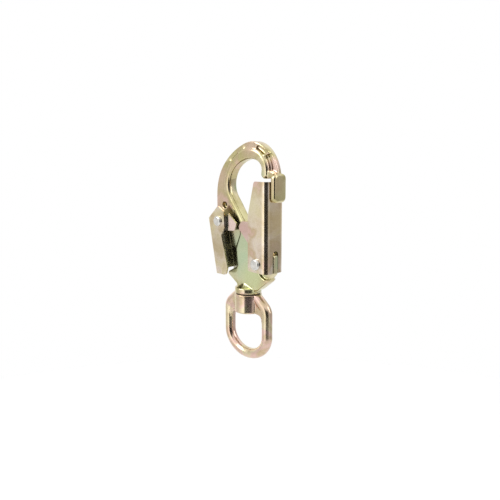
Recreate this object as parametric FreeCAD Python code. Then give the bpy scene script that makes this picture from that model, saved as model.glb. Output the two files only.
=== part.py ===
import FreeCAD, Part
import math
import os

from FreeCAD import Vector

# Double-locking swivel snap hook, millimetres.
# Origin: swivel axis (Z) at the face between the hook's collar and the eye's barrel.
# +Z points from the swivel eye to the hook's crown, +X from the back of the hook to its gate,
# Y is the thickness, and the object is symmetric about Y = 0.

# Forged hook body: half thicknesses of its levels.
RIM_HALF = 4.4
BEAD_HALF = 5.6
PLATE_HALF = 5.3
RIB_HALF = 2.7
SCOOP_CENTRE = (25.7, 24.1)
SCOOP_R = 8.6
BEAD_ROUND = 3.0
RIM_INSET = 2.2
PLATE_ROUND = 1.6

# Swivel.
COLLAR_R = 11.8
COLLAR_H = 5.0
NECK_R = 4.0
NECK_TOP = 11.0
SHANK_R = 6.0
SWIVEL_GAP = 0.1

# Eye.
BARREL_R = 12.1
BARREL_TOP = -0.9
BARREL_BOTTOM = -17.5
EYE_BAR_R = 4.65
EYE_HALF_WIDTH = 23.0
EYE_KNEE_Z = -13.2
EYE_BEND_Z = -37.0
EYE_BOTTOM = -56.3

# Gate: folded sheet, hinged on a rivet.
GATE_PIVOT = (20.0, 29.0)
GATE_HALF = 11.4
GATE_SHEET = 1.5
GATE_WEB_X = 32.2
GATE_TOP = 98.6
GATE_BOTTOM = 21.6
GATE_BEND_R = 6.0
EAR_OUTER = 7.45
SLOT_WIDTH = 6.6
SLOT_TOP = 40.5

# Locking lever: folded sheet, hinged on a rivet.
LEVER_PIVOT = (-25.9, 61.7)
LEVER_HALF = 12.0
LEVER_SHEET = 1.5
LEVER_BEND_R = 2.4
LUG_OUTER = 9.25
LEVER_WEB_DIST = 12.9
LEVER_LEAN = math.radians(11.36)

# Rivets and the sleeves they clamp.
GATE_RIVET_R = 3.0
GATE_SLEEVE_R = 4.0
LEVER_RIVET_R = 2.6
LEVER_SLEEVE_R = 3.6
BORE_CLEARANCE = 0.05

# Torsion springs: wire, and how far from Y = 0 the inner turn starts.
WIRE_R = 0.45
GATE_SPRING_START = 6.15
LEVER_SPRING_START = 6.15

PLANE_NORMAL = Vector(0, 1, 0)


def at(x, z, y=0.0):
    return Vector(x, y, z)


def spline(points):
    curve = Part.BSplineCurve()
    curve.interpolate([at(x, z) for x, z in points])
    return curve.toShape()


def widened(points, distance):
    """The points of an open line, each moved to the line's right by a distance."""
    moved = []
    last = len(points) - 1
    for i, (x, z) in enumerate(points):
        before = points[max(i - 1, 0)]
        after = points[min(i + 1, last)]
        run = Vector(after[0] - before[0], 0, after[1] - before[1]).normalize()
        moved.append((x + run.z * distance, z - run.x * distance))
    return moved


def arc(a, mid, b):
    return Part.Arc(at(*a), at(*mid), at(*b)).toShape()


def line(a, b):
    return Part.makeLine(at(*a), at(*b))


def corner_edges(points):
    """Straight sides and tangent corner arcs of a polygon given as (x, z, corner radius)."""
    count = len(points)
    joints = []
    for i in range(count):
        x, z, radius = points[i]
        here = Vector(x, 0, z)
        before = Vector(points[i - 1][0], 0, points[i - 1][1])
        after = Vector(points[(i + 1) % count][0], 0, points[(i + 1) % count][1])
        if radius <= 0:
            joints.append((here, None, here))
            continue
        back = (before - here).normalize()
        ahead = (after - here).normalize()
        half = math.acos(max(-1.0, min(1.0, back.dot(ahead)))) / 2
        reach = radius / math.tan(half)
        centre = here + (back + ahead).normalize() * (radius / math.sin(half))
        middle = centre + (here - centre).normalize() * radius
        joints.append((here + back * reach, middle, here + ahead * reach))
    edges = []
    for i in range(count):
        first, middle, last = joints[i]
        if middle is not None:
            edges.append(Part.Arc(first, middle, last).toShape())
        nxt = joints[(i + 1) % count][0]
        if (nxt - last).Length > 1e-6:
            edges.append(Part.makeLine(last, nxt))
    return edges


def slab(edges, y_low, y_high):
    """Solid whose outline in the XZ plane is the closed chain of edges."""
    wire = Part.Wire(Part.__sortEdges__(edges))
    face = Part.Face(wire)
    face.translate(Vector(0, y_low, 0))
    return face.extrude(Vector(0, y_high - y_low, 0))


def soften(solid, half, radius):
    """Round the edges that lie in the two faces y = -half and y = +half."""
    chosen = []
    for edge in solid.Edges:
        box = edge.BoundBox
        if box.YLength < 1e-6 and abs(abs(box.YMin) - half) < 1e-6:
            chosen.append(edge)
    return solid.makeFillet(radius, chosen)


def disc(centre, radius, y_low, y_high):
    base = Vector(centre[0], y_low, centre[1])
    return Part.makeCylinder(radius, y_high - y_low, base, PLANE_NORMAL)


def one_solid(shape):
    shape = shape.removeSplitter()
    if shape.ShapeType == "Solid":
        return shape
    return max(shape.Solids, key=lambda solid: solid.Volume)


def save(shape, name):
    if not shape.isValid():
        raise RuntimeError(name + " is not a valid shape")
    shape.exportStep("parts/" + name + ".step")


# ---------------------------------------------------------------- hook body

def crown_edge():
    """Outer edge of the rim, from the back of the hook over the crown to the nose."""
    points = [(-35.4, 84.0), (-34.6, 92.6), (-30.2, 105.0), (-20.4, 117.2), (-4.4, 127.7),
              (8.6, 131.1), (21.6, 126.8), (30.4, 117.0), (34.6, 104.4)]
    return spline(points)


def bowl_edge(inset=0.0):
    """Inner edge of the bowl, from the nose over the crown down to the neck."""
    points = [(18.9, 104.4), (19.2, 106.4), (19.3, 109.0), (17.0, 113.0), (8.8, 116.2),
              (-1.3, 114.8), (-10.5, 110.0), (-16.5, 102.6), (-18.6, 94.6), (-17.3, 86.8),
              (-12.2, 79.4), (-6.2, 71.2), (0.0, 62.5)]
    if inset:
        points = widened(points, inset)
    return spline(points)


def bead_edge():
    """Outer edge of the thick bead that lines the bowl."""
    points = [(27.2, 104.6), (26.8, 110.2), (24.0, 117.2), (16.6, 123.9), (5.4, 125.9),
              (-7.6, 121.8), (-18.6, 112.4), (-24.8, 100.6), (-26.0, 91.0), (-22.8, 81.4),
              (-15.4, 72.0), (-8.4, 64.2)]
    return spline(points)


def rim():
    inner = bowl_edge(RIM_INSET)
    nose = inner.Vertexes[0].Point
    neck = inner.Vertexes[-1].Point
    edges = [
        line((-35.4, 72.0), (-35.4, 84.0)),
        crown_edge(),
        line((34.6, 104.4), (34.6, 101.6)),
        line((34.6, 101.6), (24.0, 101.6)),
        line((24.0, 101.6), (nose.x, nose.z)),
        inner,
        line((neck.x, neck.z), (-6.0, 36.0)),
        line((-6.0, 36.0), (-16.0, 40.4)),
        line((-16.0, 40.4), (-16.0, 48.5)),
        line((-16.0, 48.5), (-21.4, 56.6)),
        arc((-21.4, 56.6), (-30.0, 56.6), (-32.4, 64.0)),
        line((-32.4, 64.0), (-35.4, 72.0)),
    ]
    solid = soften(slab(edges, -RIM_HALF, RIM_HALF), RIM_HALF, 0.9)
    for side in (-1, 1):
        low, high = sorted((side * 1.2, side * 8.0))
        solid = solid.cut(disc((-25.2, 75.4), 2.9, low, high))
    return solid


def bead():
    edges = [
        bead_edge(),
        arc((27.2, 104.6), (23.0, 100.4), (18.9, 104.4)),
        bowl_edge(),
        arc((0.0, 62.5), (-3.4, 58.6), (-8.4, 64.2)),
    ]
    return soften(slab(edges, -BEAD_HALF, BEAD_HALF), BEAD_HALF, BEAD_ROUND)


def pockets():
    """Deep pocket beside the nose and two lesser ones over the crown, all on the near side."""
    top = -BEAD_HALF - 1
    nose = corner_edges([(20.0, 120.9, 0.0), (27.4, 123.0, 0.0), (45.0, 123.0, 0.0), (45.0, 105.6, 0.0),
                         (34.0, 105.6, 1.0), (30.0, 107.2, 1.6), (20.0, 107.2, 0.0)])
    crown = corner_edges([(12.0, 124.0, 0.0), (14.4, 127.5, 0.8), (16.4, 127.7, 0.8), (27.4, 122.9, 0.8),
                          (24.0, 118.0, 0.0)])
    near = slab(nose, top, -0.4).fuse(slab(crown, top, -1.9))
    for x_left, z_left, x_right, z_right in ((-1.4, 127.4, 10.8, 129.9), (-18.4, 115.8, -9.2, 122.9)):
        along = Vector(x_right - x_left, 0, z_right - z_left).normalize()
        across = Vector(along.z, 0, -along.x) * 2.4
        outline = corner_edges([(x_left, z_left, 0.6), (x_right, z_right, 0.6),
                                (x_right + across.x, z_right + across.z, 0.6),
                                (x_left + across.x, z_left + across.z, 0.6)])
        near = near.fuse(slab(outline, top, -RIM_HALF + 0.7))
    return near


def stiffener():
    """Short rib between the two pockets."""
    outline = corner_edges([(22.4, 118.6, 0.0), (27.1, 121.0, 0.6), (26.0, 122.3, 0.6), (21.0, 120.3, 0.0)])
    return slab(outline, -RIM_HALF + 0.2, 0.6)


def spade():
    """Tongue outside the gate's top end that stops the gate from being pulled outwards."""
    block = Part.makeBox(4.6, 15.0, 23.6, Vector(32.8, -7.5, 81.4))
    lower = [e for e in block.Edges if e.BoundBox.XLength > 4 and e.BoundBox.ZMax < 82]
    block = block.makeFillet(4.4, lower)
    upper = [e for e in block.Edges if e.BoundBox.XLength > 4 and e.BoundBox.ZMin > 104.9]
    block = block.makeFillet(4.0, upper)
    outer = [e for e in block.Edges if e.BoundBox.XLength < 1e-6 and abs(e.BoundBox.XMin - 37.4) < 1e-6]
    block = block.makeFillet(2.2, outer)
    inner = [e for e in block.Edges if e.BoundBox.XLength < 1e-6 and abs(e.BoundBox.XMin - 32.8) < 1e-6]
    return block.makeFillet(0.8, inner)


def plate():
    """Thick lower plate, with the round scoop that clears the gate's folded bottom end."""
    outline = corner_edges([(-3.6, 65.5, 1.0), (2.4, 57.5, 5.0), (10.5, 44.0, 2.0), (24.0, 37.0, 2.0),
                            (33.2, 21.8, 3.0), (27.2, 13.4, 8.0), (15.6, 4.6, 3.0), (9.0, 2.2, 0.5),
                            (-7.5, 2.2, 0.5), (-9.8, 6.6, 2.0), (-22.6, 15.2, 2.0), (-9.4, 22.4, 2.5),
                            (-10.8, 38.5, 10.0), (-5.2, 51.5, 4.0), (-6.8, 61.5, 1.0)])
    solid = soften(slab(outline, -PLATE_HALF, PLATE_HALF), PLATE_HALF, PLATE_ROUND)
    solid = solid.cut(disc(SCOOP_CENTRE, SCOOP_R, -10, 10))
    x, z = SCOOP_CENTRE
    above = corner_edges([(x - SCOOP_R, z, 0.0), (45.0, z, 0.0), (45.0, 60.0, 0.0), (x - SCOOP_R, 60.0, 0.0)])
    return solid.cut(slab(above, -10, 10))


def gate_rib():
    """Thin rib that passes through the slot in the gate, and the boss on the gate's pivot."""
    outline = corner_edges([(0.0, 56.0, 2.0), (11.0, 43.6, 6.0), (21.0, 43.0, 8.0), (32.8, 36.3, 1.4),
                            (32.8, 20.9, 2.5), (27.4, 14.8, 4.0), (16.0, 10.5, 3.0), (0.0, 12.0, 0.0)])
    rib = soften(slab(outline, -RIB_HALF, RIB_HALF), RIB_HALF, 0.8)
    return rib.fuse(disc(GATE_PIVOT, 8.9, -RIM_HALF, RIM_HALF))


def collar():
    """Round collar that flares out of the plate in a hollow curve, and the swivel shank."""
    flare = Part.Arc(Vector(COLLAR_R - 0.9, 0, COLLAR_H), Vector(7.0, 0, 6.9), Vector(NECK_R, 0, NECK_TOP))
    edges = [
        Part.makeLine(Vector(0, 0, 0), Vector(COLLAR_R - 0.7, 0, 0)),
        Part.Arc(Vector(COLLAR_R - 0.7, 0, 0), Vector(COLLAR_R - 0.2, 0, 0.2),
                 Vector(COLLAR_R, 0, 0.7)).toShape(),
        Part.makeLine(Vector(COLLAR_R, 0, 0.7), Vector(COLLAR_R, 0, COLLAR_H - 0.9)),
        Part.Arc(Vector(COLLAR_R, 0, COLLAR_H - 0.9), Vector(COLLAR_R - 0.27, 0, COLLAR_H - 0.27),
                 Vector(COLLAR_R - 0.9, 0, COLLAR_H)).toShape(),
        flare.toShape(),
        Part.makeLine(Vector(NECK_R, 0, NECK_TOP), Vector(0, 0, NECK_TOP)),
        Part.makeLine(Vector(0, 0, NECK_TOP), Vector(0, 0, 0)),
    ]
    face = Part.Face(Part.Wire(edges))
    return face.revolve(Vector(0, 0, 0), Vector(0, 0, 1), 360)


def shank():
    """Swivel shank with its upset head, which lies in the barrel's counterbore."""
    bar = Part.makeCylinder(SHANK_R, 18.0, Vector(0, 0, -17.0))
    head = Part.makeCone(SHANK_R + 1.2, SHANK_R + 2.4, 1.2, Vector(0, 0, -18.1))
    return bar.fuse(head).fuse(Part.makeCylinder(SHANK_R + 2.4, 1.2, Vector(0, 0, -16.9)))


def hook_body():
    solid = rim().cut(pockets())
    solid = solid.multiFuse([stiffener(), bead(), plate(), gate_rib(), spade(), collar(), shank()])
    solid = solid.cut(disc(GATE_PIVOT, GATE_SLEEVE_R + BORE_CLEARANCE, -20, 20))
    solid = solid.cut(disc(LEVER_PIVOT, LEVER_SLEEVE_R + BORE_CLEARANCE, -20, 20))
    return one_solid(solid)


# ---------------------------------------------------------------- gate

def gate_profile():
    """Outline of the gate's side."""
    return corner_edges([(10.8, 22.2, 1.6), (GATE_WEB_X, GATE_BOTTOM, 0.0), (GATE_WEB_X, GATE_TOP, 0.0),
                         (17.7, GATE_TOP, 2.4), (10.8, 69.8, 6.0)])


def channel(web_x, half, sheet, bend, z_low, z_high, x_open):
    """Folded U channel along Z, with its web on the +X side and open towards -X."""
    outer = Part.makeBox(web_x - x_open, 2 * half, z_high - z_low, Vector(x_open, -half, z_low))
    bends = []
    for edge in outer.Edges:
        box = edge.BoundBox
        if box.ZLength > 1 and box.YLength < 1e-6 and abs(box.XMin - web_x) < 1e-6:
            bends.append(edge)
    outer = outer.makeFillet(bend, bends)
    inner = Part.makeBox(web_x - x_open - sheet + 1, 2 * (half - sheet), z_high - z_low + 2,
                         Vector(x_open - 1, -half + sheet, z_low - 1))
    bends = []
    for edge in inner.Edges:
        box = edge.BoundBox
        if box.ZLength > 1 and box.YLength < 1e-6 and abs(box.XMin - (web_x - sheet)) < 1e-6:
            bends.append(edge)
    inner = inner.makeFillet(bend - sheet, bends)
    return outer.cut(inner)


def gate_ear():
    """Ear joggled inwards from the gate's near side; it lies under the lever's lug."""
    outline = corner_edges([(-5.2, 57.8, 3.0), (-0.8, 63.6, 3.2), (14.0, 63.6, 0.0), (14.0, 39.4, 0.0),
                            (9.4, 42.8, 1.5)])
    flat = slab(outline, -EAR_OUTER, -EAR_OUTER + GATE_SHEET)
    step = slab(corner_edges([(10.8, 63.4, 0.0), (13.6, 63.4, 0.0), (13.6, 42.0, 0.0), (10.8, 42.0, 0.0)]),
                -GATE_HALF, -EAR_OUTER + GATE_SHEET)
    return flat.fuse(step)


def gate():
    solid = channel(GATE_WEB_X, GATE_HALF, GATE_SHEET, GATE_BEND_R, GATE_BOTTOM, GATE_TOP, 8.0)
    solid = solid.common(slab(gate_profile(), -GATE_HALF - 1, GATE_HALF + 1))
    slot = Part.makeBox(8, SLOT_WIDTH, SLOT_TOP - SLOT_WIDTH / 2 - GATE_BOTTOM + 2,
                        Vector(GATE_WEB_X - 5, -SLOT_WIDTH / 2, GATE_BOTTOM - 2))
    slot_end = Part.makeCylinder(SLOT_WIDTH / 2, 8, Vector(GATE_WEB_X - 5, 0, SLOT_TOP - SLOT_WIDTH / 2),
                                 Vector(1, 0, 0))
    solid = solid.cut(slot).cut(slot_end)
    ear = gate_ear()
    solid = solid.fuse(ear).fuse(ear.mirror(Vector(0, 0, 0), PLANE_NORMAL))
    solid = solid.cut(disc(GATE_PIVOT, GATE_RIVET_R + 0.05, -20, 20))
    return one_solid(solid)


# ---------------------------------------------------------------- locking lever

def lever_side(y_low, y_high):
    outline = corner_edges([(-26.0, 75.0, 1.4), (-39.8, 61.6, 2.6), (-30.3, 14.4, 2.8), (-16.2, 14.4, 3.0),
                            (-14.0, 21.6, 3.0), (-21.9, 50.0, 3.0), (-17.6, 56.5, 3.0), (-18.6, 70.8, 1.0)])
    return slab(outline, y_low, y_high)


def lever_lug(side):
    """Lug joggled inwards from the lever's side; its end is square to the lever's pivot."""
    outline = corner_edges([(-15.6, 69.4, 1.0), (-5.4, 60.9, 1.4), (-7.6, 54.6, 1.4), (-17.0, 53.9, 0.0),
                            (-17.0, 66.4, 0.0)])
    low, high = sorted((side * (LUG_OUTER - LEVER_SHEET), side * LUG_OUTER))
    flat = slab(outline, low, high)
    outer = LEVER_HALF
    inner = LUG_OUTER
    section = [(-18.6, outer), (-15.6, inner), (-15.6, inner - LEVER_SHEET), (-17.2, inner - LEVER_SHEET),
               (-20.2, outer - LEVER_SHEET), (-20.2, outer)]
    joggle = Part.Face(Part.makePolygon([Vector(x, side * y, 54.1) for x, y in section + section[:1]]))
    return flat.fuse(joggle.extrude(Vector(0, 0, 12.6)))


def lock_lever():
    """Leaning channel open towards +X, its web left out above the pivot, with a lug on each side."""
    solid = channel(LEVER_WEB_DIST, LEVER_HALF, LEVER_SHEET, LEVER_BEND_R, -60.0, 30.0, -40.0)
    solid.rotate(Vector(0, 0, 0), Vector(0, 0, 1), 180)
    solid.rotate(Vector(0, 0, 0), Vector(0, 1, 0), -math.degrees(LEVER_LEAN))
    solid.translate(at(*LEVER_PIVOT))
    solid = solid.common(lever_side(-LEVER_HALF - 1, LEVER_HALF + 1))
    clear = LEVER_HALF - LEVER_SHEET
    solid = solid.cut(Part.makeBox(50, 2 * clear, 30, Vector(-50, -clear, 60.8)))
    solid = solid.cut(Part.makeBox(50, 2 * clear, 18, Vector(-50, -clear, -0.8)))
    solid = solid.fuse(lever_lug(-1)).fuse(lever_lug(1))
    solid = solid.cut(disc(LEVER_PIVOT, LEVER_RIVET_R + 0.05, -20, 20))
    return one_solid(solid)


# ---------------------------------------------------------------- rivets, sleeves, springs

def rivet(pivot, shank_r, head_r, head_h, half):
    solid = disc(pivot, shank_r, -half - 0.5, half + 0.5)
    for side in (-1, 1):
        base = Vector(pivot[0], side * half, pivot[1])
        head = Part.makeCylinder(head_r, head_h, base, PLANE_NORMAL * side)
        rims = []
        for edge in head.Edges:
            box = edge.BoundBox
            if box.YLength < 1e-6 and abs(box.YMin - side * (half + head_h)) < 1e-6:
                rims.append(edge)
        solid = solid.fuse(head.makeFillet(head_h * 0.8, rims))
    return one_solid(solid)


def sleeve(pivot, outer_r, inner_r, half):
    return disc(pivot, outer_r, -half, half).cut(disc(pivot, inner_r, -half - 1, half + 1))


def turn_arcs(coil_r, turns, pitch, side):
    """Outline of the stacked turns of wire on the coil's outer (1) or inner (-1) side."""
    waist = coil_r + side * math.sqrt(WIRE_R ** 2 - (pitch / 2) ** 2)
    points = [Vector(coil_r, 0, -WIRE_R)]
    points += [Vector(waist, 0, pitch * (turn + 0.5)) for turn in range(turns - 1)]
    points.append(Vector(coil_r, 0, pitch * (turns - 1) + WIRE_R))
    crests = [Vector(coil_r + side * WIRE_R, 0, pitch * turn) for turn in range(turns)]
    return [Part.Arc(points[i], crests[i], points[i + 1]).toShape() for i in range(turns)]


def coil(coil_r, turns, pitch):
    """Close-wound coil of wire about Z, its first turn at height 0, each turn pressed on the next."""
    edges = turn_arcs(coil_r, turns, pitch, 1) + turn_arcs(coil_r, turns, pitch, -1)
    section = Part.Face(Part.Wire(Part.__sortEdges__(edges)))
    return section.revolve(Vector(0, 0, 0), Vector(0, 0, 1), 360)


def beside_body(spring, pivot, start_y):
    """A spring made about Z, turned and moved on to a pivot, on the near side."""
    spring.rotate(Vector(0, 0, 0), Vector(1, 0, 0), 90)
    spring.translate(Vector(pivot[0], -start_y, pivot[1]))
    return spring


def gate_spring():
    return beside_body(coil(4.9, 4, 0.86), GATE_PIVOT, GATE_SPRING_START)


def lever_spring():
    return beside_body(coil(4.6, 4, 0.86), LEVER_PIVOT, LEVER_SPRING_START)


# ---------------------------------------------------------------- swivel

def ring(outer_r, inner_r, z_low, z_high):
    solid = Part.makeCylinder(outer_r, z_high - z_low, Vector(0, 0, z_low))
    return solid.cut(Part.makeCylinder(inner_r, z_high - z_low + 2, Vector(0, 0, z_low - 1)))


def eye_bar():
    """Round bar bent to a D, its ends running into the barrel."""
    side = EYE_HALF_WIDTH
    turn = math.radians(50)
    bend = 9.0
    reach = bend * math.tan(turn / 2)
    inner_end = (-7.0, EYE_KNEE_Z + (side - 7.0) / math.tan(turn))
    low_tangent = (-side, EYE_KNEE_Z - reach)
    high_tangent = (-side + reach * math.sin(turn), EYE_KNEE_Z + reach * math.cos(turn))
    middle = (-side + bend - bend * math.cos(turn / 2), low_tangent[1] + bend * math.sin(turn / 2))
    bottom = Part.Ellipse(at(side, EYE_BEND_Z), at(0, EYE_BOTTOM), at(0, EYE_BEND_Z))
    edges = [
        line(inner_end, high_tangent),
        arc(high_tangent, middle, low_tangent),
        line(low_tangent, (-side, EYE_BEND_Z)),
        Part.ArcOfEllipse(bottom, 0, math.pi).toShape(),
        line((side, EYE_BEND_Z), (side, low_tangent[1])),
        arc((side, low_tangent[1]), (-middle[0], middle[1]), (-high_tangent[0], high_tangent[1])),
        line((-high_tangent[0], high_tangent[1]), (-inner_end[0], inner_end[1])),
    ]
    path = Part.Wire(Part.__sortEdges__(edges))
    direction = Vector(high_tangent[0] - inner_end[0], 0, high_tangent[1] - inner_end[1])
    section = Part.Wire([Part.Circle(at(*inner_end), direction, EYE_BAR_R).toShape()])
    return path.makePipeShell([section], True, False)


def eye_webs():
    """Forged webs that fill the corners between the barrel and the bar."""
    outline = [(-9.0, -2.4, 0.0), (-22.4, -15.0, 3.0), (-22.4, -26.5, 0.5), (-19.2, -26.5, 0.5),
               (-18.2, -18.6, 4.0), (-9.0, -17.3, 0.0)]
    near = soften(slab(corner_edges(outline), -3.6, 3.6), 3.6, 1.4)
    return near.fuse(near.mirror(Vector(0, 0, 0), Vector(1, 0, 0)))


def barrel():
    profile = Part.makeCylinder(BARREL_R, BARREL_TOP - BARREL_BOTTOM, Vector(0, 0, BARREL_BOTTOM))
    rims = [e for e in profile.Edges if e.BoundBox.ZLength < 1e-6]
    return profile.makeFillet(0.8, rims)


def swivel_eye():
    solid = barrel().multiFuse([eye_bar(), eye_webs()])
    solid = solid.cut(Part.makeCylinder(SHANK_R + 1.6, 30, Vector(0, 0, -20)))
    solid = solid.cut(Part.makeCylinder(SHANK_R + 2.8, 3.8, Vector(0, 0, BARREL_BOTTOM - 1)))
    keep_out = Part.makeCylinder(2 * BARREL_R, 20, Vector(0, 0, BARREL_TOP))
    return one_solid(solid.cut(keep_out))


def build():
    os.makedirs("parts", exist_ok=True)
    save(hook_body(), "hook_body")
    save(gate(), "gate")
    save(rivet(GATE_PIVOT, GATE_RIVET_R, 5.0, 2.2, GATE_HALF), "gate_rivet")
    save(sleeve(GATE_PIVOT, GATE_SLEEVE_R, GATE_RIVET_R + 0.05, GATE_HALF - GATE_SHEET), "gate_sleeve")
    save(lock_lever(), "lock_lever")
    save(rivet(LEVER_PIVOT, LEVER_RIVET_R, 4.5, 2.0, LEVER_HALF), "lever_rivet")
    save(sleeve(LEVER_PIVOT, LEVER_SLEEVE_R, LEVER_RIVET_R + 0.05, LEVER_HALF - LEVER_SHEET), "lever_sleeve")
    save(gate_spring(), "gate_spring_left")
    save(gate_spring().mirror(Vector(0, 0, 0), PLANE_NORMAL), "gate_spring_right")
    save(lever_spring(), "lever_spring_left")
    save(lever_spring().mirror(Vector(0, 0, 0), PLANE_NORMAL), "lever_spring_right")
    save(swivel_eye(), "swivel_eye")
    save(ring(COLLAR_R - 0.9, SHANK_R + 0.1, BARREL_TOP + SWIVEL_GAP, -SWIVEL_GAP), "swivel_washer")
    save(ring(SHANK_R + 1.55, SHANK_R + 0.1, -14.0, BARREL_TOP), "swivel_bushing")
    save(ring(SHANK_R + 2.7, SHANK_R + 0.1, -15.6, -14.8), "shank_washer")


build()
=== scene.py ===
import math

import bpy
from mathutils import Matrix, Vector


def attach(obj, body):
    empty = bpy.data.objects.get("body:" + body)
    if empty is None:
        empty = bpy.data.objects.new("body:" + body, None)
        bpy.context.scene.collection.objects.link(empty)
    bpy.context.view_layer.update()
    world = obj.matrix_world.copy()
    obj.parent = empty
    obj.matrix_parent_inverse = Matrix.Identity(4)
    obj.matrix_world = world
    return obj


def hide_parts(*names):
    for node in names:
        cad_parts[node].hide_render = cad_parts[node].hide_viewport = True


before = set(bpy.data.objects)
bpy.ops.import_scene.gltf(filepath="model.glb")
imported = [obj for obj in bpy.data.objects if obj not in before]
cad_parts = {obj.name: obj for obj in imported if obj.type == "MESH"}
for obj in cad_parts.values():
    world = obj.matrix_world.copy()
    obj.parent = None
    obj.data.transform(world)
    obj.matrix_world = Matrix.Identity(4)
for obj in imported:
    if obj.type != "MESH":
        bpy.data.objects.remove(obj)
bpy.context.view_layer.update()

MM = 0.001

# Camera: where it stands, in the frame's metres, and how it is turned. The azimuth is counted from -Y to +X.
AZIMUTH = math.radians(45.0)
LEVEL_DISTANCE = 515 * MM
CAMERA_HEIGHT = 134.3 * MM
LENS = 43.2
TILT = math.radians(10.65)
PAN = math.radians(0.17)

# Floor disc, well below the object so that it isn't seen in the metal's downward reflections.
FLOOR_RADIUS = 3.0
FLOOR_LEVEL = -1.2
FLOOR_SIDES = 96

# Surroundings: brightness of what lights the object, and of the white that the camera sees.
STUDIO_STRENGTH = 1.9
BACKDROP_STRENGTH = 1.0

# How far a vertex may lie from its twin and still be welded to it, in metres.
WELD_DISTANCE = 1e-6

# Finish of the plating: bump strength, how strongly a cloud covers, and the tones of its fine marks.
BUMP_STRENGTH = 0.05
CLOUD_COVER = 0.8
BLOOM = (0.80, 0.76, 0.62, 1)
SOOT = (0.26, 0.19, 0.10, 1)


# ---------------------------------------------------------------- nodes

class Graph:
    """A few short calls for writing a material's or the world's node tree."""

    def __init__(self, tree):
        self.tree = tree
        tree.nodes.clear()

    def node(self, kind, inputs=None, **settings):
        made = self.tree.nodes.new(kind)
        for key, value in settings.items():
            setattr(made, key, value)
        for key, value in (inputs or {}).items():
            self.feed(made.inputs[key], value)
        return made

    def feed(self, socket, value):
        if isinstance(value, bpy.types.NodeSocket):
            self.tree.links.new(value, socket)
        else:
            socket.default_value = value

    def noise(self, vector, scale, detail=3.0, rough=0.5, distortion=0.0):
        made = self.node("ShaderNodeTexNoise", {"Vector": vector, "Scale": scale, "Detail": detail,
                                                "Roughness": rough, "Distortion": distortion})
        return made.outputs[0]

    def stretch(self, vector, scale):
        made = self.node("ShaderNodeMapping", {"Vector": vector, "Scale": scale})
        return made.outputs[0]

    def ramp(self, value, stops):
        """Colour ramp; a stop's colour may be one number for a grey."""
        made = self.node("ShaderNodeValToRGB", {"Fac": value})
        marks = made.color_ramp.elements
        while len(marks) < len(stops):
            marks.new(0.5)
        for mark, (place, colour) in zip(marks, stops):
            mark.position = place
            if not isinstance(colour, tuple):
                colour = (colour, colour, colour)
            mark.color = (*colour, 1.0)
        return made.outputs[0]

    def mix(self, amount, a, b):
        made = self.node("ShaderNodeMix", data_type="RGBA")
        self.feed(made.inputs[0], amount)
        self.feed(made.inputs[6], a)
        self.feed(made.inputs[7], b)
        return made.outputs[2]

    def math(self, operation, a, b=0.0, clamp=False):
        made = self.node("ShaderNodeMath", operation=operation, use_clamp=clamp)
        self.feed(made.inputs[0], a)
        self.feed(made.inputs[1], b)
        return made.outputs[0]

    def near(self, place, centre, core, reach):
        """1 within core of a point, falling to 0 at reach, in millimetres."""
        point = tuple(c * MM for c in centre)
        made = self.node("ShaderNodeVectorMath", operation="DISTANCE")
        self.feed(made.inputs[0], place)
        self.feed(made.inputs[1], point)
        span = self.node("ShaderNodeMapRange", {"Value": made.outputs["Value"], "From Min": core * MM,
                                                "From Max": reach * MM, "To Min": 1.0, "To Max": 0.0})
        return span.outputs[0]

    def bump(self, height, strength, distance):
        made = self.node("ShaderNodeBump", {"Height": height, "Strength": strength, "Distance": distance})
        return made.outputs[0]


def new_material(name):
    material = bpy.data.materials.new(name)
    material.use_nodes = True
    return material, Graph(material.node_tree)


def drifting_tones(g, place, tones, patch):
    """Patches that run through the tones, evenly spaced over the middle of a noise."""
    first = 0.32
    spread = 0.36
    step = spread / (len(tones) - 1)
    stops = [(first + step * i, tone) for i, tone in enumerate(tones)]
    return g.ramp(g.noise(place, patch, 3.0, 0.5, 0.3), stops)


def inner_faces(g, texture, half_width):
    """1 on a channel's faces that look into it, nearer to Y = 0 than half_width; the channel opens to +X."""
    across = g.node("ShaderNodeSeparateXYZ", {"Vector": texture.outputs["Object"]}).outputs["Y"]
    facing = g.node("ShaderNodeSeparateXYZ", {"Vector": texture.outputs["Normal"]})
    away = g.math("MULTIPLY", facing.outputs["Y"], g.math("SIGN", across))
    inward = g.math("MAXIMUM", facing.outputs["X"], g.math("MULTIPLY", away, -1.0))
    within = g.math("LESS_THAN", g.math("ABSOLUTE", across), half_width * MM)
    return g.math("MULTIPLY", within, g.math("GREATER_THAN", inward, 0.6))


def surface_marks(g, place, grain):
    """Fine marks and their height: brushed or drawn along the grain, or the fine pitting of a forging."""
    if grain:
        marks = g.noise(g.stretch(place, grain), 1.0, 5.0, 0.65)
        return marks, marks
    marks = g.noise(place, 1300.0, 3.0, 0.6)
    return marks, g.mix(0.4, marks, g.noise(place, 240.0, 2.0, 0.5))


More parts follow.
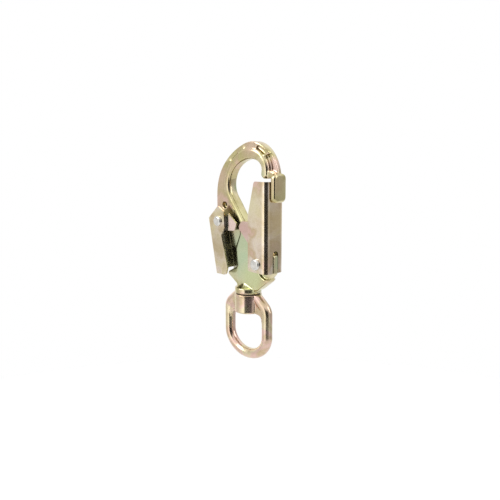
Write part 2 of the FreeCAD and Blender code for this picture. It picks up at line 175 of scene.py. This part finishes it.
def plated(name, tones, roughness, patch, relief, grain=None, clouds=(), painted_inside_shade=None):
    """Yellow-passivated zinc on steel: colour drifts between the tones over the surface.

    roughness is its lowest and highest value, patch the scale of the drift, relief the marks' depth in mm.
    grain is a scale per axis for brushed or drawn marks, or None for the fine pitting of a forging.
    clouds are places where the passivation has a colour of its own: centre, core, reach, colour.
    The last argument, painted shade, is a darker colour put on a channel's inner faces where shade falls:
    half width in millimetres, colour.
    """
    material, g = new_material(name)
    texture = g.node("ShaderNodeTexCoord")
    place = texture.outputs["Object"]
    colour = drifting_tones(g, place, tones, patch)
    for centre, core, reach, cloud in clouds:
        mask = g.math("MULTIPLY", g.near(place, centre, core, reach), CLOUD_COVER)
        colour = g.mix(mask, colour, (*cloud, 1.0))
    fine = g.noise(place, 520.0, 4.0, 0.6)
    marks, height = surface_marks(g, place, grain)
    colour = g.mix(g.ramp(fine, [(0.45, 0.0), (0.75, 0.07)]), colour, BLOOM)
    colour = g.mix(g.ramp(marks, [(0.30, 0.16), (0.50, 0.0)]), colour, SOOT)
    low, high = roughness
    rough = g.ramp(g.mix(0.5, fine, marks), [(0.3, low), (0.7, high)])
    # Painted shade: the channel's inner faces are darkened in the colour itself, where shade falls.
    if painted_inside_shade:
        half_width, shade = painted_inside_shade
        colour = g.mix(inner_faces(g, texture, half_width), colour, (*shade, 1.0))
    shader = g.node("ShaderNodeBsdfPrincipled", {"Base Color": colour, "Metallic": 1.0, "Roughness": rough})
    g.feed(shader.inputs["Normal"], g.bump(height, BUMP_STRENGTH, relief * MM))
    out = g.node("ShaderNodeOutputMaterial")
    g.feed(out.inputs["Surface"], shader.outputs[0])
    return material


OLIVE = (0.47, 0.42, 0.20)
CREAM = (0.66, 0.58, 0.38)
GREEN = (0.50, 0.56, 0.34)
PINK = (0.68, 0.47, 0.41)
TAN = (0.54, 0.42, 0.27)
BROWN = (0.40, 0.28, 0.18)
PALE = (0.72, 0.62, 0.52)
SILVER = (0.66, 0.65, 0.62)

# Clouds: centre in mm, radius of the full tint, radius where it ends, colour.
BODY_CLOUDS = [
    ((0, -5, 34), 14.0, 30.0, (0.50, 0.60, 0.40)),      # lower plate
    ((10, -5, 14), 6.0, 17.0, (0.60, 0.64, 0.36)),      # plate above the collar
    ((-31, -4, 96), 4.0, 18.0, (0.58, 0.45, 0.31)),     # rim, back of the hook
    ((8, -4, 128), 4.0, 14.0, (0.58, 0.42, 0.32)),      # rim, crown
    ((31, -1, 112), 4.0, 9.0, (0.78, 0.55, 0.50)),      # floor of the nose pocket
    ((37, 4, 90), 3.0, 12.0, (0.56, 0.51, 0.27)),       # spade, face
    ((37, -5, 96), 3.0, 11.0, (0.56, 0.44, 0.27)),      # spade, near edge
    ((-4, -5, 66), 4.0, 14.0, (0.66, 0.62, 0.34)),      # foot of the bead
]
EYE_CLOUDS = [
    ((-8, -9, -8), 3.0, 12.0, (0.52, 0.48, 0.24)),      # barrel, near left
    ((20, -3, -14), 3.0, 12.0, (0.58, 0.47, 0.30)),     # right shoulder
    ((-17, 0, -40), 3.0, 10.0, (0.66, 0.42, 0.36)),     # left bar
]
GATE_CLOUDS = [
    ((32, 3, 66), 4.0, 26.0, (0.64, 0.50, 0.27)),       # web, middle
    ((32, 8, 92), 3.0, 20.0, (0.68, 0.50, 0.38)),       # web, top
    ((32, 6, 40), 4.0, 16.0, (0.50, 0.40, 0.26)),       # web, above the slot
    ((3, -7, 56), 5.0, 14.0, (0.62, 0.42, 0.38)),       # near ear
    ((14, -11, 80), 3.0, 20.0, (0.70, 0.64, 0.42)),     # near flange
]
LEVER_CLOUDS = [
    ((-10, -9, 60), 4.0, 9.0, (0.82, 0.62, 0.58)),      # near lug
    ((-26, -12, 40), 4.0, 22.0, (0.50, 0.42, 0.27)),    # near flange
]
# Painted shade for the lever's channel: a darker colour on its inner faces, where shade falls; half width in
# mm, colour.
LEVER_INSIDE_PAINTED_SHADE = (10.6, (0.38, 0.36, 0.28))
BRUSHED_LEVEL = (260.0, 260.0, 2400.0)
TUMBLED = (1100.0, 1100.0, 500.0)
TURNED = (2500.0, 600.0, 2500.0)

forged_body = plated("forged_body", [GREEN, CREAM, OLIVE, TAN, PINK], (0.15, 0.24), 42.0, 0.05,
                     clouds=BODY_CLOUDS)
forged_eye = plated("forged_eye", [TAN, CREAM, PINK, TAN, BROWN], (0.15, 0.24), 52.0, 0.05,
                    clouds=EYE_CLOUDS)
gate_sheet = plated("gate_sheet", [CREAM, PALE, TAN, PINK], (0.12, 0.22), 60.0, 0.025,
                    BRUSHED_LEVEL, GATE_CLOUDS)
lever_sheet = plated("lever_sheet", [TAN, CREAM, PALE, TAN], (0.18, 0.28), 70.0, 0.03,
                     TUMBLED, LEVER_CLOUDS, LEVER_INSIDE_PAINTED_SHADE)
rivet_zinc = plated("rivet_zinc", [SILVER, (0.60, 0.59, 0.56), (0.72, 0.70, 0.66)], (0.16, 0.26), 200.0, 0.03)
sleeve_zinc = plated("sleeve_zinc", [SILVER, CREAM], (0.3, 0.4), 200.0, 0.02, TURNED)
spring_wire = plated("spring_wire", [(0.34, 0.34, 0.34), (0.42, 0.41, 0.40)], (0.3, 0.42), 200.0, 0.02)
dark_washer = plated("dark_washer", [(0.10, 0.09, 0.07), (0.18, 0.15, 0.11)], (0.4, 0.55), 150.0, 0.02)
bronze = plated("bronze", [(0.62, 0.42, 0.20), (0.70, 0.50, 0.26)], (0.3, 0.42), 150.0, 0.02)


# ---------------------------------------------------------------- pieces

def visual_copy(node, body, name):
    """A free copy of a CAD node's mesh, with plain normals, that stands for it."""
    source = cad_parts[node]
    mesh = source.data.copy()
    mesh.materials.clear()
    if mesh.has_custom_normals:
        mesh.attributes.remove(mesh.attributes["custom_normal"])
    for attribute in [a.name for a in mesh.attributes if a.name.startswith("sharp")]:
        mesh.attributes.remove(mesh.attributes[attribute])
    mesh.shade_smooth()
    piece = bpy.data.objects.new(name, mesh)
    bpy.context.scene.collection.objects.link(piece)
    weld = piece.modifiers.new("weld", "WELD")
    weld.merge_threshold = WELD_DISTANCE
    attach(piece, body)
    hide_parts(node)
    return piece


def forge(piece, voxel, soften):
    """Rounds every edge and inner corner a little, as a forging has them; voxel is in millimetres."""
    remesh = piece.modifiers.new("forge", "REMESH")
    remesh.mode = "VOXEL"
    remesh.voxel_size = voxel * MM
    remesh.use_smooth_shade = True
    smooth = piece.modifiers.new("soften", "SMOOTH")
    smooth.factor = 0.5
    smooth.iterations = soften


def press(piece, radius):
    """Breaks the sharp edges of pressed sheet; radius is in millimetres."""
    bevel = piece.modifiers.new("edges", "BEVEL")
    bevel.width = radius * MM
    bevel.segments = 2
    bevel.limit_method = "ANGLE"
    bevel.angle_limit = math.radians(40)
    bevel.use_clamp_overlap = True
    bevel.harden_normals = False
    normals = piece.modifiers.new("normals", "WEIGHTED_NORMAL")
    normals.keep_sharp = False


def dress(name, material):
    """Puts a material on a CAD node that is shown as it is."""
    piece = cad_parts[name]
    piece.data.materials.clear()
    piece.data.materials.append(material)


hook = visual_copy("hook_body", "body", "forged_hook")
forge(hook, 0.45, 5)
hook.data.materials.append(forged_body)

eye = visual_copy("swivel_eye", "eye", "forged_eye")
forge(eye, 0.4, 5)
eye.data.materials.append(forged_eye)

gate = visual_copy("gate", "gate", "pressed_gate")
press(gate, 0.3)
gate.data.materials.append(gate_sheet)

lever = visual_copy("lock_lever", "lever", "pressed_lever")
press(lever, 0.3)
lever.data.materials.append(lever_sheet)

for node in ("gate_rivet", "lever_rivet"):
    dress(node, rivet_zinc)
for node in ("gate_sleeve", "lever_sleeve"):
    dress(node, sleeve_zinc)
for node in ("gate_spring_left", "gate_spring_right", "lever_spring_left", "lever_spring_right"):
    dress(node, spring_wire)
for node in ("swivel_washer", "shank_washer"):
    dress(node, dark_washer)
dress("swivel_bushing", bronze)


# ---------------------------------------------------------------- camera, floor and light

def make_camera():
    ahead = Vector((-math.sin(AZIMUTH), math.cos(AZIMUTH), 0))
    right = Vector((math.cos(AZIMUTH), math.sin(AZIMUTH), 0))
    level = ahead * math.cos(PAN) + right * math.sin(PAN)
    gaze = level * math.cos(TILT) - Vector((0, 0, math.sin(TILT)))
    data = bpy.data.cameras.new("camera")
    data.sensor_width = 36.0
    data.lens = LENS
    data.dof.use_dof = False
    data.clip_start = 0.01
    data.clip_end = 50.0
    camera = bpy.data.objects.new("camera", data)
    bpy.context.scene.collection.objects.link(camera)
    camera.location = -ahead * LEVEL_DISTANCE + Vector((0, 0, CAMERA_HEIGHT))
    camera.rotation_mode = "QUATERNION"
    camera.rotation_quaternion = gaze.to_track_quat("-Z", "Y")
    bpy.context.scene.camera = camera


def make_floor():
    mesh = bpy.data.meshes.new("floor")
    ring = []
    for i in range(FLOOR_SIDES):
        angle = 2 * math.pi * i / FLOOR_SIDES
        ring.append((FLOOR_RADIUS * math.cos(angle), FLOOR_RADIUS * math.sin(angle), FLOOR_LEVEL))
    mesh.from_pydata(ring, [], [tuple(range(FLOOR_SIDES))])
    floor = bpy.data.objects.new("floor", mesh)
    bpy.context.scene.collection.objects.link(floor)
    material, g = new_material("pale_floor")
    shader = g.node("ShaderNodeBsdfPrincipled", {"Base Color": (0.92, 0.92, 0.92, 1), "Roughness": 0.9})
    out = g.node("ShaderNodeOutputMaterial")
    g.feed(out.inputs["Surface"], shader.outputs[0])
    mesh.materials.append(material)


def make_world():
    """Studio surroundings: bright screens to the left and the right and a dark gap between them.

    The gap is fixed about AZIMUTH in the frame. Camera rays see plain white instead of the screens.
    """
    world = bpy.data.worlds.new("studio")
    bpy.context.scene.world = world
    world.use_nodes = True
    g = Graph(world.node_tree)
    way = g.node("ShaderNodeTexCoord").outputs["Generated"]
    split = g.node("ShaderNodeSeparateXYZ", {"Vector": way})
    angle = g.math("ARCTAN2", split.outputs[1], split.outputs[0])
    turn = g.math("DIVIDE", angle, 2 * math.pi)
    turn = g.math("ADD", turn, 0.5, True)
    # turn runs from 0 at -X over 0.25 at -Y, 0.5 at +X and 0.75 at +Y back to 1
    around = g.ramp(turn, [(0.0, 0.60), (0.10, 0.44), (0.17, 0.62), (0.272, 1.0), (0.288, 0.05),
                           (0.375, 0.012), (0.452, 0.05), (0.478, 0.40), (0.60, 0.26), (0.74, 0.40),
                           (0.92, 0.66)])
    overhead = g.ramp(split.outputs[2], [(0.30, 0.0), (0.62, 1.0)])
    lit = g.mix(overhead, around, (0.62, 0.62, 0.62, 1))
    ray = g.node("ShaderNodeLightPath").outputs["Is Camera Ray"]
    strength = g.mix(ray, (STUDIO_STRENGTH,) * 3 + (1,), (BACKDROP_STRENGTH,) * 3 + (1,))
    seen = g.mix(ray, lit, (1.0, 1.0, 1.0, 1))
    shader = g.node("ShaderNodeBackground", {"Color": seen, "Strength": strength})
    out = g.node("ShaderNodeOutputWorld")
    g.feed(out.inputs["Surface"], shader.outputs[0])


def make_lamp(name, azimuth, elevation, distance, size, power):
    a = math.radians(azimuth)
    e = math.radians(elevation)
    back = Vector((math.sin(a) * math.cos(e), -math.cos(a) * math.cos(e), math.sin(e)))
    data = bpy.data.lights.new(name, "AREA")
    data.shape = "RECTANGLE"
    data.size, data.size_y = size
    data.energy = power
    lamp = bpy.data.objects.new(name, data)
    bpy.context.scene.collection.objects.link(lamp)
    lamp.location = Vector((0, 0, 0.04)) + back * distance
    lamp.rotation_mode = "QUATERNION"
    lamp.rotation_quaternion = (-back).to_track_quat("-Z", "Y")


make_camera()
make_floor()
make_world()
make_lamp("key_left", -30.0, 35.0, 1.2, (0.5, 0.9), 6.0)
make_lamp("fill_right", 120.0, 25.0, 1.2, (0.4, 0.9), 2.5)
bpy.context.scene.view_settings.view_transform = "Standard"
